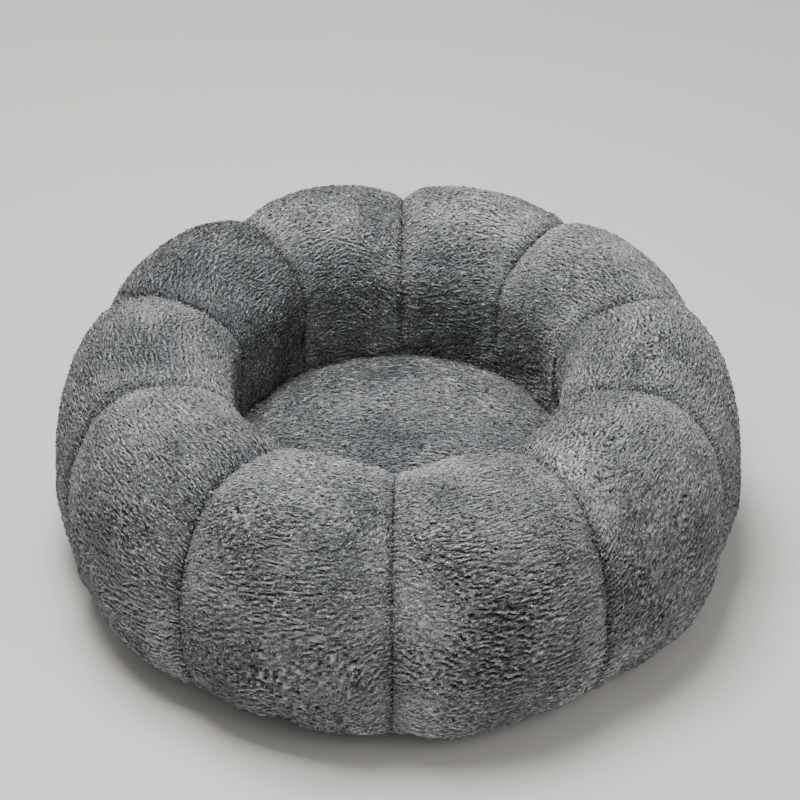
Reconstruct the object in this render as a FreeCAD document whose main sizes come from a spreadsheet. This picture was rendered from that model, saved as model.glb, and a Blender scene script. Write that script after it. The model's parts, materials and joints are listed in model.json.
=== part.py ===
"""Round floor bean bag chair: a ring of puffed petals around a low domed seat.

Every petal is an open gore of pile fabric over its own stuffed inner bag. The seat is a
pile fabric disc over a flat round bag. The gores and the disc are closed underneath by a
padded base, and a curved zip in that base lets the inner bags out.

Frame: millimetres, +Z up, origin at the centre of the base's underside, -Y to the front.
The fabric edges between two gores lie at whole steps of the petal angle from the front.
"""
import FreeCAD, Part
import math
import os
import Sketcher

# Driving dimensions: name, value in millimetres unless the note says otherwise, note.
DIMENSIONS = [
    ("petals", 10, "count of petals round the ring"),
    ("base_r", 406, "radius of the flat base, where the gores start"),
    ("wide_r", 525, "largest radius of a petal"),
    ("wide_z", 151, "height of the largest radius"),
    ("crest_r", 391, "radius of a petal's crest"),
    ("crest_z", 390, "height of a petal's crest, the overall height"),
    ("shoulder_drop", 98, "from the crest down to where the inner face stands upright"),
    ("overhang", 10, "how far the inner face leans in over the seat's edge"),
    ("valley_side", 18, "depth of the valley between petals at the largest radius"),
    ("valley_top", 41, "depth of the valley between petals at the crest"),
    ("valley_inside", 9, "depth of the valley between petals on the inner face"),
    ("lower_fullness", 0.72, "share, how square the lower outer quarter is"),
    ("upper_fullness", 0.58, "share, how square the upper outer quarter is"),
    ("inner_fullness", 0.54, "share, how square the inner quarter is"),
    ("side_rise", 0.88, "share of the valley filled halfway to the seam"),
    ("seam_gap", 0.03, "degrees between a gore's edge and the seam plane"),
    ("seat_r", 259, "radius of the seat where it meets the petals"),
    ("seat_edge_z", 158, "height of the seat's edge"),
    ("seat_rise", 50, "from the seat's edge up to its crown"),
    ("crown_width", 0.55, "share of the seat's radius that is nearly level"),
    ("seat_shoulder_r", 25, "how far in from the edge the seat starts to turn down"),
    ("seat_shoulder_z", 32, "how far above its edge the seat starts to turn down"),
    ("seam_cover", 8, "how far the gores reach down behind the seat's edge"),
    ("fur", 10, "thickness of the pile fabric, backing and pile"),
    ("lift", 2, "height of the gores' lower edge above the floor"),
    ("ease", 0.3, "clearance between layers"),
    ("sewn", 0.25, "clearance along a curved edge that is sewn or moulded on"),
    ("bag_wall", 1.2, "thickness of the inner bags' cloth"),
    ("cloth", 2, "thickness of the grip cloth under the base"),
    ("zip_inset", 70, "from the base's edge in to the zip's centre line"),
    ("zip_sweep", 200, "degrees of the base that the zip goes round, centred behind"),
    ("slot", 20, "width of the slot that the zip lies in"),
    ("tape_z", 7, "height of the zip tape's middle"),
    ("tape", 0.8, "thickness of the zip tape"),
    ("chain_gap", 2.2, "between the two chains of teeth"),
    ("chain", 2.1, "width of one chain"),
    ("chain_height", 3, "height of a chain"),
    ("stop_length", 5, "length of an end stop along the zip"),
    ("tail", 22, "length of the tape beyond each end stop"),
    ("slider_length", 17, "length of the slider along the zip"),
    ("slider_width", 12, "width of the slider"),
    ("plate", 0.9, "thickness of the slider's plates"),
    ("slider_play", 0.3, "clearance between the slider and the chains"),
    ("bail_length", 9, "length of the slider's bail along the zip"),
    ("bail_width", 2.4, "width of the bail"),
    ("bail_wall", 1, "thickness of the bail"),
    ("bail_room", 2, "height inside the bail"),
    ("pull_thick", 1.4, "thickness of the pull tab and its cross bar"),
    ("pull_width", 6.4, "width of the pull tab"),
    ("pull_length", 30, "length of the pull tab from its cross bar"),
    ("window_width", 3.2, "width of the pull tab's window round the bail"),
    ("window_length", 8, "length of that window from the cross bar"),
    ("grip_hole", 2.6, "diameter of the hole in the pull tab's free end"),
]
DEGREES = 180 / math.pi
HALF_TURN = 180
FULL_TURN = 360
SHEET = "Dims"


class Size:
    """A number of the model together with the spreadsheet formula that gives it."""

    def __init__(self, number, formula):
        self.number = number
        self.formula = formula

    def joined(self, sign, other, number):
        right = other.formula if isinstance(other, Size) else repr(other)
        return Size(number, f"({self.formula} {sign} {right})")

    def __add__(self, other):
        return self.joined("+", other, self.number + plain(other))

    def __sub__(self, other):
        return self.joined("-", other, self.number - plain(other))

    def __mul__(self, other):
        return self.joined("*", other, self.number * plain(other))

    def __truediv__(self, other):
        return self.joined("/", other, self.number / plain(other))


def plain(size):
    """The number of a Size, or a number as it is."""
    return size.number if isinstance(size, Size) else size


doc = FreeCAD.newDocument("BeanBagChair")


def make_sheet():
    """Fills the spreadsheet with the driving dimensions and returns each as a Size."""
    sheet = doc.addObject("Spreadsheet::Sheet", SHEET)
    sizes = {}
    for row, (alias, number, note) in enumerate(DIMENSIONS, start=1):
        sheet.set(f"A{row}", alias)
        sheet.set(f"B{row}", str(number))
        sheet.set(f"C{row}", note)
        sheet.setAlias(f"B{row}", alias)
        sizes[alias] = Size(number, f"{SHEET}.{alias}")
    doc.recompute()
    return sizes


D = make_sheet()
PETALS = int(D["petals"].number)

# Places that several pieces share.
NOTHING = Size(0, "0")
BASE_TOP = D["lift"] + D["fur"]
PAD = BASE_TOP - D["cloth"]
SEAM_ANGLE = Size(HALF_TURN, str(HALF_TURN)) / D["petals"]
GORE_HALF = SEAM_ANGLE - D["seam_gap"]
SHOULDER_Z = D["crest_z"] - D["shoulder_drop"]
SEAM_Z = D["seat_edge_z"] - D["seam_cover"]
ZIP_R = D["base_r"] - D["zip_inset"]
CHAIN_Z = D["tape_z"] - D["chain_height"] / 2
CHAIN_TOP = D["tape_z"] + D["chain_height"] / 2
CHAIN_OUT = D["chain_gap"] / 2 + D["chain"]
SLIDER_Z = CHAIN_Z - D["slider_play"] - D["plate"]
SLIDER_TOP = CHAIN_TOP + D["slider_play"] + D["plate"]
PIVOT_Z = SLIDER_Z - D["bail_room"] / 2
BAIL_Z = SLIDER_Z - D["bail_room"] - D["bail_wall"]


def zip_degrees(length):
    """The angle that a length along the zip's centre line takes."""
    return length / ZIP_R * DEGREES


def origin_plane(body, role):
    """One of a body's own origin planes."""
    return next(f for f in body.Origin.OriginFeatures if f.Role == role)


def new_body(label):
    """A body whose label names its file."""
    body = doc.addObject("PartDesign::Body", label)
    body.Label = label
    return body


def new_sketch(body, role, turn=None, height=None):
    """A sketch on an origin plane of its body, turned about Z or lifted if asked."""
    sketch = body.newObject("Sketcher::SketchObject", body.Label + "_sketch")
    sketch.AttachmentSupport = [(origin_plane(body, role), "")]
    sketch.MapMode = "FlatFace"
    if turn is not None:
        spin = FreeCAD.Rotation(FreeCAD.Vector(0, 1, 0), turn.number)
        sketch.AttachmentOffset = FreeCAD.Placement(FreeCAD.Vector(), spin)
        sketch.setExpression("AttachmentOffset.Rotation.Angle", turn.formula)
    if height is not None:
        sketch.AttachmentOffset = FreeCAD.Placement(
            FreeCAD.Vector(0, 0, height.number), FreeCAD.Rotation()
        )
        sketch.setExpression("AttachmentOffset.Base.z", height.formula)
    return sketch


def fix_points(sketch, places):
    """Holds points of a sketch at their two sizes, measured from the origin.

    places lists (edge, which point of it, its two sizes).
    """
    rules, formulas = [], []
    for edge, end, point in places:
        for kind, size, axis in zip(("DistanceX", "DistanceY"), point, (-2, -1)):
            if size.number == 0:
                rules.append(Sketcher.Constraint("PointOnObject", edge, end, axis))
                formulas.append(None)
            else:
                held = Sketcher.Constraint(kind, -1, 1, edge, end, size.number)
                rules.append(held)
                formulas.append(size.formula)
    made = sketch.addConstraint(rules)
    for place, formula in zip(made, formulas):
        if formula:
            sketch.setExpression(f"Constraints[{place}]", formula)


def vector(point):
    return FreeCAD.Vector(point[0].number, point[1].number, 0)


def draw_outline(sketch, runs):
    """Draws a closed outline. A run is a list of 2 points for a line or 4 poles for a curve."""
    edges = []
    for run in runs:
        if len(run) == 2:
            shape = Part.LineSegment(*map(vector, run))
        else:
            poles = [vector(point) for point in run]
            shape = Part.BSplineCurve(poles, None, None, False, 3, None, False)
        edges.append(sketch.addGeometry(shape, False))
    sketch.addConstraint(
        [
            Sketcher.Constraint("Coincident", edge, 2, after, 1)
            for edge, after in zip(edges, edges[1:] + edges[:1])
        ]
    )
    places = []
    for here, run in enumerate(runs):
        after_curve = len(runs[here - 1]) > 2
        if len(run) == 2:
            if not after_curve:
                places.append((edges[here], 1, run[0]))
            continue
        first_pole = sketch.GeometryCount
        sketch.exposeInternalGeometry(edges[here])
        for place, point in enumerate(run):
            if place or not after_curve:
                places.append((first_pole + place, 3, point))
    fix_points(sketch, places)
    return sketch


def draw_circle(sketch, centre, diameter):
    """A circle about a point of the sketch."""
    radius = diameter / 2
    circle = Part.Circle(vector(centre), FreeCAD.Vector(0, 0, 1), radius.number)
    edge = sketch.addGeometry(circle, False)
    fix_points(sketch, [(edge, 3, centre)])
    made = sketch.addConstraint(Sketcher.Constraint("Radius", edge, radius.number))
    sketch.setExpression(f"Constraints[{made}]", radius.formula)
    return sketch


def draw_box(sketch, low, high):
    """A closed rectangle between two corners."""
    corners = [low, (high[0], low[1]), high, (low[0], high[1])]
    return draw_outline(
        sketch, [[corners[k], corners[(k + 1) % 4]] for k in range(4)]
    )


def turned(body, kind, sketch, angle=None):
    """A Revolution or Groove of a sketch about the Z axis."""
    made = body.newObject("PartDesign::" + kind, body.Label + "_" + kind.lower())
    made.Profile = sketch
    made.ReferenceAxis = (sketch, ["V_Axis"])
    made.Midplane = True
    if angle is None:
        made.Angle = FULL_TURN
    else:
        made.Angle = angle.number
        made.setExpression("Angle", angle.formula)
    return made


def lofted(body, kind, sketches):
    """An additive or subtractive loft through sketches."""
    made = body.newObject("PartDesign::" + kind, body.Label + "_" + kind.lower())
    made.Profile = sketches[0]
    made.Sections = sketches[1:]
    return made


def padded(body, sketch, length):
    """A Pad of a sketch."""
    made = body.newObject("PartDesign::Pad", body.Label + "_pad")
    made.Profile = sketch
    made.Length = length.number
    made.setExpression("Length", length.formula)
    return made


def spin_about_z(body, degrees):
    """Turns a whole body about the vertical axis."""
    body.Placement = FreeCAD.Placement(
        FreeCAD.Vector(), FreeCAD.Rotation(FreeCAD.Vector(0, 0, 1), degrees.number)
    )
    body.setExpression("Placement.Rotation.Angle", degrees.formula)


# ---------------------------------------------------------------- the petals


def petal_curve(inset, valley):
    """The petal's outer curve from the base over the crest to the seat's edge, as four runs.

    inset moves it inwards by the thickness of the layers outside it. valley is the share
    of the valley's depth at this station: 0 in the petal's middle and 1 at the seam.
    """
    low_z = D["lift"] + inset
    wide = D["wide_r"] - inset - D["valley_side"] * valley
    top = D["crest_z"] - inset - D["valley_top"] * valley
    inner = D["seat_r"] - D["overhang"] + inset + D["valley_inside"] * valley
    edge = D["seat_r"] + inset
    k_low, k_up, k_in = D["lower_fullness"], D["upper_fullness"], D["inner_fullness"]
    drop = (SHOULDER_Z - SEAM_Z) / 3
    return [
        [
            (D["base_r"], low_z),
            (D["base_r"] + (wide - D["base_r"]) * k_low, low_z),
            (wide, D["wide_z"] - (D["wide_z"] - low_z) * k_low),
            (wide, D["wide_z"]),
        ],
        [
            (wide, D["wide_z"]),
            (wide, D["wide_z"] + (top - D["wide_z"]) * k_up),
            (D["crest_r"] + (wide - D["crest_r"]) * k_up, top),
            (D["crest_r"], top),
        ],
        [
            (D["crest_r"], top),
            (D["crest_r"] - (D["crest_r"] - inner) * k_in, top),
            (inner, SHOULDER_Z + (top - SHOULDER_Z) * k_in),
            (inner, SHOULDER_Z),
        ],
        [
            (inner, SHOULDER_Z),
            (inner, SHOULDER_Z - drop),
            (edge, SEAM_Z + drop),
            (edge, SEAM_Z),
        ],
    ]


def gore_outline(valley):
    """A band as thick as the pile fabric along the petal's curve."""
    outside = petal_curve(NOTHING, valley)
    inside = [list(reversed(run)) for run in reversed(petal_curve(D["fur"], valley))]
    seat_end = [outside[-1][-1], inside[0][0]]
    base_end = [inside[-1][-1], outside[0][0]]
    return outside + [seat_end] + inside + [base_end]


def bag_outline(inset, valley):
    """A closed outline inside the petal's curve, flat below and upright beside the seat."""
    outside = petal_curve(inset, valley)
    foot = (outside[-1][-1][0], outside[0][0][1])
    return outside + [[outside[-1][-1], foot], [foot, outside[0][0]]]


def petal_stations(half):
    """The loft's five stations: angle from the petal's middle and share of the valley."""
    flank = Size(1, "1") - D["side_rise"]
    whole = Size(1, "1")
    return [
        (half * -1, whole),
        (half * -0.5, flank),
        (NOTHING, NOTHING),
        (half * 0.5, flank),
        (half, whole),
    ]


def petal_loft(body, kind, outline, half):
    sketches = []
    for angle, valley in petal_stations(half):
        sketch = new_sketch(body, "XZ_Plane", turn=angle)
        sketches.append(draw_outline(sketch, outline(valley)))
    return lofted(body, kind, sketches)


def inset_half(thickness):
    """Half the petal's angle, less a wall of this thickness at the seat's edge."""
    return GORE_HALF - thickness / D["seat_r"] * DEGREES


OUTER_BAG = D["fur"] + D["ease"]
INNER_BAG = OUTER_BAG + D["bag_wall"]
FILL = INNER_BAG + D["ease"]


def make_first_petal():
    """The cover, the inner bag and the filling of one petal."""
    cover = new_body("petal_cover_01")
    petal_loft(cover, "AdditiveLoft", gore_outline, GORE_HALF)

    bag = new_body("petal_bag_01")
    petal_loft(bag, "AdditiveLoft", lambda v: bag_outline(OUTER_BAG, v), GORE_HALF)
    hollow = inset_half(D["bag_wall"])
    petal_loft(bag, "SubtractiveLoft", lambda v: bag_outline(INNER_BAG, v), hollow)

    fill = new_body("petal_filling_01")
    room = inset_half(D["bag_wall"] + D["ease"])
    petal_loft(fill, "AdditiveLoft", lambda v: bag_outline(FILL, v), room)

    return [cover, bag, fill]


def make_petals():
    """All the petals: the first one's bodies, and further bodies based on them.

    The petals are counted from the front seam, the first of them to its right.
    """
    first = make_first_petal()
    petals = list(first)
    for number in range(2, PETALS + 1):
        for piece in first:
            copy = new_body(piece.Label[:-2] + f"{number:02d}")
            copy.BaseFeature = piece
            petals.append(copy)
    for place, piece in enumerate(petals):
        number = place // len(first) + 1
        spin_about_z(piece, SEAM_ANGLE * (2 * number - 1) - FULL_TURN / 4)
    return petals


# ---------------------------------------------------------------- the seat

SEAT_RIM = D["seat_r"] - D["ease"]


def dome(drop):
    """The seat's crowned curve from its centre to its rim, lowered by drop."""
    edge = D["seat_edge_z"] - drop
    crown = edge + D["seat_rise"]
    return [
        (NOTHING, crown),
        (SEAT_RIM * D["crown_width"], crown),
        (SEAT_RIM - D["seat_shoulder_r"], edge + D["seat_shoulder_z"]),
        (SEAT_RIM, edge),
    ]


def seat_bag_outline(drop, wall):
    """The seat bag below its dome. It reaches out under the gores' ends to the petals' bags."""
    top = dome(drop)
    rim_z = top[-1][1]
    out = D["seat_r"] + OUTER_BAG - D["ease"] - wall
    low = BASE_TOP + D["ease"] + wall
    return [
        top,
        [top[-1], (out, rim_z)],
        [(out, rim_z), (out, low)],
        [(out, low), (NOTHING, low)],
        [(NOTHING, low), top[0]],
    ]


def make_seat():
    cover = new_body("seat_cover")
    upper = dome(NOTHING)
    lower = dome(D["fur"])
    outline = [
        upper,
        [upper[-1], lower[-1]],
        list(reversed(lower)),
        [lower[0], upper[0]],
    ]
    turned(cover, "Revolution", draw_outline(new_sketch(cover, "XZ_Plane"), outline))

    bag = new_body("seat_bag")
    sketch = draw_outline(
        new_sketch(bag, "XZ_Plane"), seat_bag_outline(OUTER_BAG, NOTHING)
    )
    turned(bag, "Revolution", sketch)
    hollow = draw_outline(
        new_sketch(bag, "XZ_Plane"), seat_bag_outline(INNER_BAG, D["bag_wall"])
    )
    turned(bag, "Groove", hollow)

    fill = new_body("seat_filling")
    wall = D["bag_wall"] + D["ease"]
    room = draw_outline(new_sketch(fill, "XZ_Plane"), seat_bag_outline(FILL, wall))
    turned(fill, "Revolution", room)
    return [cover, bag, fill]


# ---------------------------------------------------------------- the base and its zip


def ring_piece(label, low, high, sweep):
    """An arc of rectangular section about Z, centred behind the chair."""
    body = new_body(label)
    sketch = draw_box(new_sketch(body, "YZ_Plane"), low, high)
    turned(body, "Revolution", sketch, sweep)
    return body


def base_layer(label, low_z, thickness):
    """A disc of the base with the slot that the zip lies in."""
    body = new_body(label)
    sketch = new_sketch(body, "XY_Plane", height=low_z)
    rim = D["base_r"] - D["ease"]
    draw_circle(sketch, (NOTHING, NOTHING), rim * 2)
    padded(body, sketch, thickness)
    slot = draw_box(
        new_sketch(body, "YZ_Plane"),
        (ZIP_R - D["slot"] / 2, low_z - D["cloth"]),
        (ZIP_R + D["slot"] / 2, low_z + thickness + D["cloth"]),
    )
    turned(body, "Groove", slot, D["zip_sweep"])
    return body


def make_base():
    return [
        base_layer("grip_cloth", NOTHING, D["cloth"]),
        base_layer("base_pad", D["cloth"], PAD),
    ]


def make_zip():
    """The tapes, the chains of teeth and the end stops, all fixed in the slot."""
    half_tape = D["tape"] / 2
    tape_low = D["tape_z"] - half_tape
    tape_top = D["tape_z"] + half_tape
    inner_edge = ZIP_R - D["slot"] / 2 + D["sewn"]
    outer_edge = ZIP_R + D["slot"] / 2 - D["sewn"]
    whole = D["zip_sweep"]
    tail = zip_degrees(D["tail"])
    stop_sweep = zip_degrees(D["stop_length"])
    run = whole - (tail + stop_sweep) * 2
    chain_edge = D["chain_gap"] / 2
    spans = [
        ("zip_tape_inner", inner_edge, ZIP_R - CHAIN_OUT - D["sewn"], tape_low, tape_top, whole),
        ("zip_tape_outer", ZIP_R + CHAIN_OUT + D["sewn"], outer_edge, tape_low, tape_top, whole),
        ("zip_teeth_inner", ZIP_R - CHAIN_OUT, ZIP_R - chain_edge, CHAIN_Z, CHAIN_TOP, run),
        ("zip_teeth_outer", ZIP_R + chain_edge, ZIP_R + CHAIN_OUT, CHAIN_Z, CHAIN_TOP, run),
    ]
    pieces = []
    for label, near, far, low_z, high_z, sweep in spans:
        pieces.append(ring_piece(label, (near, low_z), (far, high_z), sweep))
    turn = (whole - stop_sweep) / 2 - tail
    for label, side in (("zip_top_stop", 1), ("zip_bottom_stop", -1)):
        low = (ZIP_R - CHAIN_OUT, CHAIN_Z)
        high = (ZIP_R + CHAIN_OUT, CHAIN_TOP)
        stop = ring_piece(label, low, high, stop_sweep)
        spin_about_z(stop, turn * side)
        pieces.append(stop)
    return pieces


def slider_rest():
    """The slider's place at rest: against the top stop, with the zip closed."""
    taken = (D["tail"] + D["stop_length"] + D["ease"]) * 2 + D["slider_length"]
    return (D["zip_sweep"] - zip_degrees(taken)) / 2


def make_slider():
    """Two plates joined by a post between the chains, with a bail below for the pull tab."""
    body = new_body("zip_slider")
    half_width = D["slider_width"] / 2
    post = D["chain_gap"] / 2 - D["slider_play"]
    bail = D["bail_width"] / 2
    length = zip_degrees(D["slider_length"])
    bail_length = zip_degrees(D["bail_length"])
    bail_inside = zip_degrees(D["bail_length"] - D["bail_wall"] * 2)
    solids = [
        (half_width, CHAIN_TOP + D["slider_play"], SLIDER_TOP, length),
        (post, SLIDER_Z, SLIDER_TOP, length / 3),
        (half_width, SLIDER_Z, SLIDER_Z + D["plate"], length),
        (bail, BAIL_Z, SLIDER_Z + D["plate"], bail_length),
    ]
    # The post comes second, so that every later feature meets the solid that is there.
    for half, low, high, sweep in solids:
        sketch = draw_box(
            new_sketch(body, "YZ_Plane"), (ZIP_R - half, low), (ZIP_R + half, high)
        )
        turned(body, "Revolution", sketch, sweep)
    room = draw_box(
        new_sketch(body, "YZ_Plane"),
        (ZIP_R - half_width, SLIDER_Z - D["bail_room"]),
        (ZIP_R + half_width, SLIDER_Z),
    )
    turned(body, "Groove", room, bail_inside)
    spin_about_z(body, slider_rest())
    return body


def make_pull():
    """A flat tab that hangs on the bail by a round cross bar, with a window round the bail."""
    body = new_body("zip_pull")
    half = D["pull_width"] / 2
    gap = D["window_width"] / 2
    low = PIVOT_Z - D["pull_thick"] / 2
    # Seen from above, X runs along the zip and the tab lies back over the closed chain.
    end = D["pull_length"]
    bar_end = D["window_length"]
    tab = new_sketch(body, "XY_Plane", height=low)
    near, far = ZIP_R - half, ZIP_R + half
    draw_box(tab, (bar_end, near), (end, far))
    padded(body, tab, D["pull_thick"])
    for low_y, high_y in ((near, ZIP_R - gap), (ZIP_R + gap, far)):
        arm = new_sketch(body, "XY_Plane", height=low)
        draw_box(arm, (NOTHING, low_y), (bar_end, high_y))
        padded(body, arm, D["pull_thick"])
    bar = new_sketch(body, "XZ_Plane", height=far * -1)
    draw_circle(bar, (NOTHING, PIVOT_Z), D["pull_thick"])
    padded(body, bar, D["pull_width"])

    hole = new_sketch(body, "XY_Plane", height=low)
    draw_circle(hole, (end - half, ZIP_R), D["grip_hole"])
    pocket = body.newObject("PartDesign::Pocket", "zip_pull_eye")
    pocket.Profile = hole
    pocket.Reversed = True
    pocket.Length = D["pull_thick"].number
    pocket.setExpression("Length", D["pull_thick"].formula)
    spin_about_z(body, slider_rest())
    return body


# ---------------------------------------------------------------- build, test and write


def failed(piece):
    """What is wrong with an object of the document, or an empty text."""
    bad = [word for word in piece.State if word in ("Invalid", "Error")]
    return f"{piece.Label}: {bad}" if bad else ""


def main():
    pieces = make_petals()
    pieces += make_seat()
    pieces += make_base()
    pieces += make_zip()
    pieces += [make_slider(), make_pull()]
    doc.recompute()
    faults = [failed(thing) for thing in doc.Objects]
    for piece in pieces:
        if piece.Shape.isNull() or not piece.Shape.isValid():
            faults.append(f"{piece.Label}: the shape is empty or not valid")
        if not piece.Shape.Solids:
            faults.append(f"{piece.Label}: there is no solid")
    faults = [fault for fault in faults if fault]
    if faults:
        raise SystemExit("\n".join(faults))
    os.makedirs("parts", exist_ok=True)
    for piece in pieces:
        piece.Shape.exportStep(os.path.join("parts", piece.Label + ".step"))
        solids = len(piece.Shape.Solids)
        print(f"{piece.Label:22s} {solids} solid(s) {piece.Shape.Volume / 1000:11.2f} cm3")


main()
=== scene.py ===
"""Round plush floor chair: ten puffed petals round a domed seat, on a grip base with a zip.

Metres, +Z up, -Y to the front. Petals are counted from the front seam, as the frame's are.
"""

import json
import math

import bmesh
import bpy
import numpy as np
from mathutils import Matrix, Vector

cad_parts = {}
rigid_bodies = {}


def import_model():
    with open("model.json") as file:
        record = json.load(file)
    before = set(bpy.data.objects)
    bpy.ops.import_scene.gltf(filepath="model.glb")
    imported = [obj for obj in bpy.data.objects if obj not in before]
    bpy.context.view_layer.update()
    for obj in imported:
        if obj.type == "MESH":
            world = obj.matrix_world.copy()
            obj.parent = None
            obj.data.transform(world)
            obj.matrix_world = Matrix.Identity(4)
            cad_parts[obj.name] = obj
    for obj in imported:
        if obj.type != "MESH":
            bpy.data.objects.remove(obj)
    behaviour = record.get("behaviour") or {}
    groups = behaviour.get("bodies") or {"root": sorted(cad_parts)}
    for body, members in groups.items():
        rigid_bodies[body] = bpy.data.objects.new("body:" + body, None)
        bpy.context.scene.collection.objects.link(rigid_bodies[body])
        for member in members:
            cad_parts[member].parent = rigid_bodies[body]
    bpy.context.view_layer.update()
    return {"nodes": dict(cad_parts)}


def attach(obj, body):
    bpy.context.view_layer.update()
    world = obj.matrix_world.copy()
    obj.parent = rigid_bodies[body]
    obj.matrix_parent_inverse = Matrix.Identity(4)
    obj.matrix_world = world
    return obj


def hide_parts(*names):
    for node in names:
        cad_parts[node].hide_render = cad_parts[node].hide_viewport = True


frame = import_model()

# --- the chair's own sizes

PETALS = 10
HALF_PETAL = math.pi / PETALS
SEAM_GAP = math.radians(0.03)
BASE_R = 0.406
WIDE_R, WIDE_Z = 0.525, 0.151
CREST_R, CREST_Z = 0.391, 0.390
SHOULDER_Z = 0.292
INNER_R, SEAT_R = 0.249, 0.259
SEAT_EDGE_Z, SEAT_RISE = 0.158, 0.050
SEAM_COVER = 0.008
FLOOR_GAP = 0.002
VALLEY_SIDE, VALLEY_TOP, VALLEY_INSIDE = 0.018, 0.041, 0.009
LOWER_FULLNESS, UPPER_FULLNESS, INNER_FULLNESS = 0.72, 0.58, 0.54
VALLEY_ROUND = 2.2
VALLEY_FUR, VALLEY_FUR_FROM = 1.0, 0.62
FUR, FUR_LOWEST = 0.009, 0.0008

# --- Blender's selections, modes and new pieces


def select_none():
    bpy.ops.object.select_all(action="DESELECT")


def select_only(piece):
    select_none()
    piece.select_set(True)
    bpy.context.view_layer.objects.active = piece


def pick_all():
    bpy.ops.mesh.select_all(action="SELECT")


def pick_none():
    bpy.ops.mesh.select_all(action="DESELECT")


def start_edit():
    bpy.ops.object.mode_set(mode="EDIT")


def end_edit():
    bpy.ops.object.mode_set(mode="OBJECT")


def smoothed(degrees):
    bpy.ops.object.shade_smooth_by_angle(angle=math.radians(degrees))


def all_smooth(piece):
    faces = piece.data.polygons
    faces.foreach_set("use_smooth", np.ones(len(faces), bool))


def added(name, data):
    thing = bpy.data.objects.new(name, data)
    bpy.context.scene.collection.objects.link(thing)
    return thing


def built(name, points, faces):
    """A new piece from its points and faces."""
    mesh = bpy.data.meshes.new(name)
    mesh.from_pydata(points.reshape(-1, 3).tolist(), [], faces)
    return added(name, mesh)


def point_outwards(piece):
    select_only(piece)
    start_edit()
    pick_all()
    bpy.ops.mesh.normals_make_consistent(inside=False)
    end_edit()


def finished(piece, material, body, slot, *nodes, fill=None):
    """Gives a piece its material and body, and hides the nodes it stands for; slot is not used, and
    fill, how tight a pad is, is not used.
    """
    piece.data.materials.clear()
    piece.data.materials.append(material)
    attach(piece, body)
    if nodes:
        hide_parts(*nodes)


def modified(piece, kind, **settings):
    """Adds a modifier and applies it."""
    select_only(piece)
    modifier = piece.modifiers.new(kind.title(), kind)
    for name, value in settings.items():
        setattr(modifier, name, value)
    bpy.ops.object.modifier_apply(modifier=modifier.name)


def bevelled(piece, width, limit=0.6):
    modified(piece, "BEVEL", width=width, segments=2, limit_method="ANGLE", angle_limit=limit)


def rounded(piece, width, limit=0.6):
    bevelled(piece, width, limit)
    smoothed(40)


def primitive(kind, **how):
    """A new primitive, with nothing else selected."""
    select_none()
    getattr(bpy.ops.mesh, f"primitive_{kind}_add")(**how)
    return bpy.context.object


def extruded(move, widen=(1, 1, 1)):
    bpy.ops.mesh.extrude_region_move(TRANSFORM_OT_translate={"value": move})
    bpy.ops.transform.resize(value=widen)


def fixed(*parts):
    """Puts a piece's place, turn or scale into its mesh."""
    every = ("location", "rotation", "scale")
    bpy.ops.object.transform_apply(**{part: part in (parts or every) for part in every})


def mesh_places(mesh):
    places = np.empty(len(mesh.vertices) * 3)
    mesh.vertices.foreach_get("co", places)
    return places.reshape(-1, 3)


# --- numbers for soft shapes


def soft_noise(places, lump, seed):
    """Smooth noise from about -1 to 1 at places, in lumps about this many metres across."""
    side = 24
    cells = np.random.default_rng(seed).uniform(-1, 1, (side, side, side))
    at = places / lump + 100.37
    low = np.floor(at).astype(int)
    part = at - low
    part = part * part * (3 - 2 * part)
    total = 0
    for corner in np.ndindex(2, 2, 2):
        share = 1
        for axis in range(3):
            share = share * (part[..., axis] if corner[axis] else 1 - part[..., axis])
        index = tuple((low[..., axis] + corner[axis]) % side for axis in range(3))
        total = total + share * cells[index]
    return total


def picked(field, row, col):
    """A field's values between its rows and columns."""
    row = np.clip(row, 0, field.shape[0] - 1.001)
    col = np.clip(col, 0, field.shape[1] - 1.001)
    r, c = row.astype(int), col.astype(int)
    a, b = row - r, col - c
    return (
        field[r, c] * (1 - a) * (1 - b)
        + field[r + 1, c] * a * (1 - b)
        + field[r, c + 1] * (1 - a) * b
        + field[r + 1, c + 1] * a * b
    )


def evened(field):
    return (field - field.mean()) / field.std()


def combed(field, lie, row_step, col_step, stride, strides):
    """The field drawn out along its lie, an angle from the rows' direction, as fur is combed."""
    down = np.cos(lie) * stride / row_step
    over = np.sin(lie) * stride / col_step
    rows, cols = np.meshgrid(*map(np.arange, field.shape), indexing="ij")
    total = field.copy()
    for way in (1, -1):
        row, col = rows.astype(float), cols.astype(float)
        for _ in range(strides):
            step = picked(down, row, col)
            side = picked(over, row, col)
            row, col = row + way * step, col + way * side
            total += picked(field, row, col)
    return evened(total)


def running_mean(field, axis, before, after):
    """The mean along one axis over a window of before + after places."""
    window = before + after
    edges = [(0, 0)] * field.ndim
    edges[axis] = (before, after)
    total = np.cumsum(np.pad(field, edges, mode="edge"), axis)
    ahead = np.take(total, range(window, total.shape[axis]), axis)
    behind = np.take(total, range(total.shape[axis] - window), axis)
    return (ahead - behind) / window


def faced(places):
    """Each place's outward direction, and the lengths of a step along rows and columns."""
    along = np.gradient(places, axis=0)
    across = np.gradient(places, axis=1)
    out = np.cross(across, along)
    out /= np.linalg.norm(out, axis=2, keepdims=True) + 1e-12
    row_step = np.linalg.norm(along, axis=2) + 1e-6
    col_step = np.linalg.norm(across, axis=2) + 1e-6
    return out, row_step, col_step


def smooth_step(low, high, value):
    share = np.clip((value - low) / (high - low), 0, 1)
    return share * share * (3 - 2 * share)


# --- the pile

PARTING_DEPTH, WAVE_DEPTH = 0.0030, 0.0007
CLUMP_DEPTH = 0.0006
TUFT_LENGTH, TUFT_WIDTH, TUFT_LIFT = 0.0070, 0.0015, 0.26
TUFTS = 22800
TUFT_STRAY = 0.005


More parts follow.
